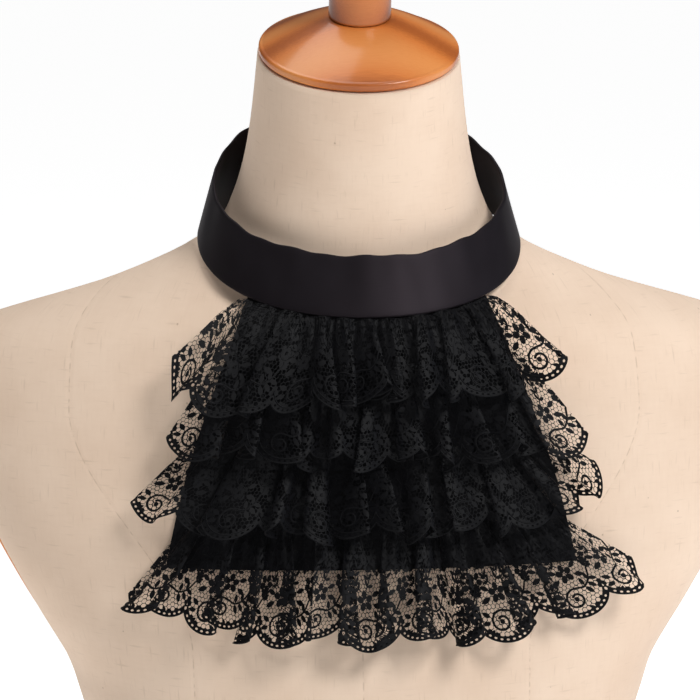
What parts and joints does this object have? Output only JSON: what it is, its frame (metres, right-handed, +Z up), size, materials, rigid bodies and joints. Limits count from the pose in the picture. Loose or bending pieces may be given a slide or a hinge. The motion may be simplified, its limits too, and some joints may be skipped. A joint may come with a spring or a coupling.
{
  "type": "lace jabot on a limbless dress form",
  "caption": "Jabot of gathered black lace tiers hanging from a satin neckband, worn by a limbless linen dress form with a turned wooden neck cap and knob.",
  "frame": {"origin": "middle of the dress form's flat base, under the centre of the part's bounding box", "axes": "+Z up through the neck, -Y out of the chest, +X towards the form's left shoulder, which is on the viewer's right"},
  "size_m": [0.422, 0.2288, 0.5654],
  "materials": {
    "linen": "plain woven linen cover, matt",
    "wood": "turned wood, stained orange-brown and varnished to a gloss",
    "satin": "black satin with a soft sheen",
    "backing": "plain black woven cloth, matt",
    "lace": "black machine lace with corded scallops",
    "fastener": "black hook-and-loop tape"
  },
  "bodies": {
    "root": {"form_torso": "linen", "armhole_plate_left": "wood", "armhole_plate_right": "wood", "neck_cap": "wood", "neck_knob": "wood", "neckband": "satin", "fastener_loop_patch": "fastener", "fastener_hook_patch": "fastener", "backing_panel": "backing", "lace_tier_1": "lace", "lace_tier_2": "lace", "lace_tier_3": "lace", "lace_tier_4": "lace"}
  },
  "joints": []
}
